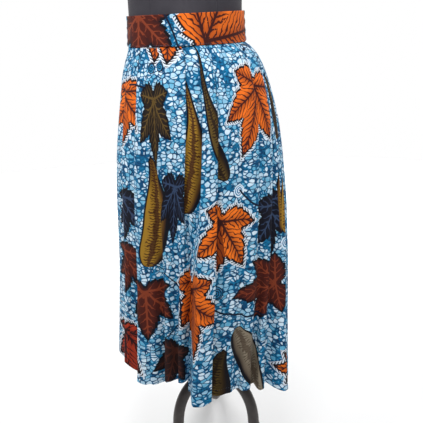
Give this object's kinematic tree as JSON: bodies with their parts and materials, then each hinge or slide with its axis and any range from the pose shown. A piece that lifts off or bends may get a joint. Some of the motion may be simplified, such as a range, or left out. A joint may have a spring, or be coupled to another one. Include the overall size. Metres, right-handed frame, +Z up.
{
  "type": "pleated midi skirt on dress form",
  "caption": "Pleated midi skirt in leaf-printed cotton with a firm front waistband and an elastic back band, worn by a limbless dress form on a tripod stand.",
  "frame": {"origin": "middle of the whole object's footprint, on the floor it stands on", "axes": "+Z up, the skirt's front faces -Y, its right side as seen from the front is +X"},
  "size_m": [0.602, 0.5616, 1.5433],
  "materials": {
    "printed_cotton": "plain-weave cotton, wax-print leaves and pods on a pebbled pale blue ground, low sheen",
    "form_jersey": "dark grey knitted jersey, matt",
    "painted_steel": "dark warm grey paint, satin",
    "rubber": "moulded rubber, matt"
  },
  "bodies": {
    "root": {"skirt_front": "printed_cotton", "skirt_back": "printed_cotton", "waistband_front": "printed_cotton", "waistband_back": "printed_cotton", "form_torso": "form_jersey", "form_neck_cap": "painted_steel", "form_base_plate": "painted_steel", "stand_pole": "painted_steel", "stand_hub": "painted_steel", "leg_left": "painted_steel", "leg_right": "painted_steel", "leg_back": "painted_steel", "foot_left": "rubber", "foot_right": "rubber", "foot_back": "rubber"}
  },
  "joints": []
}
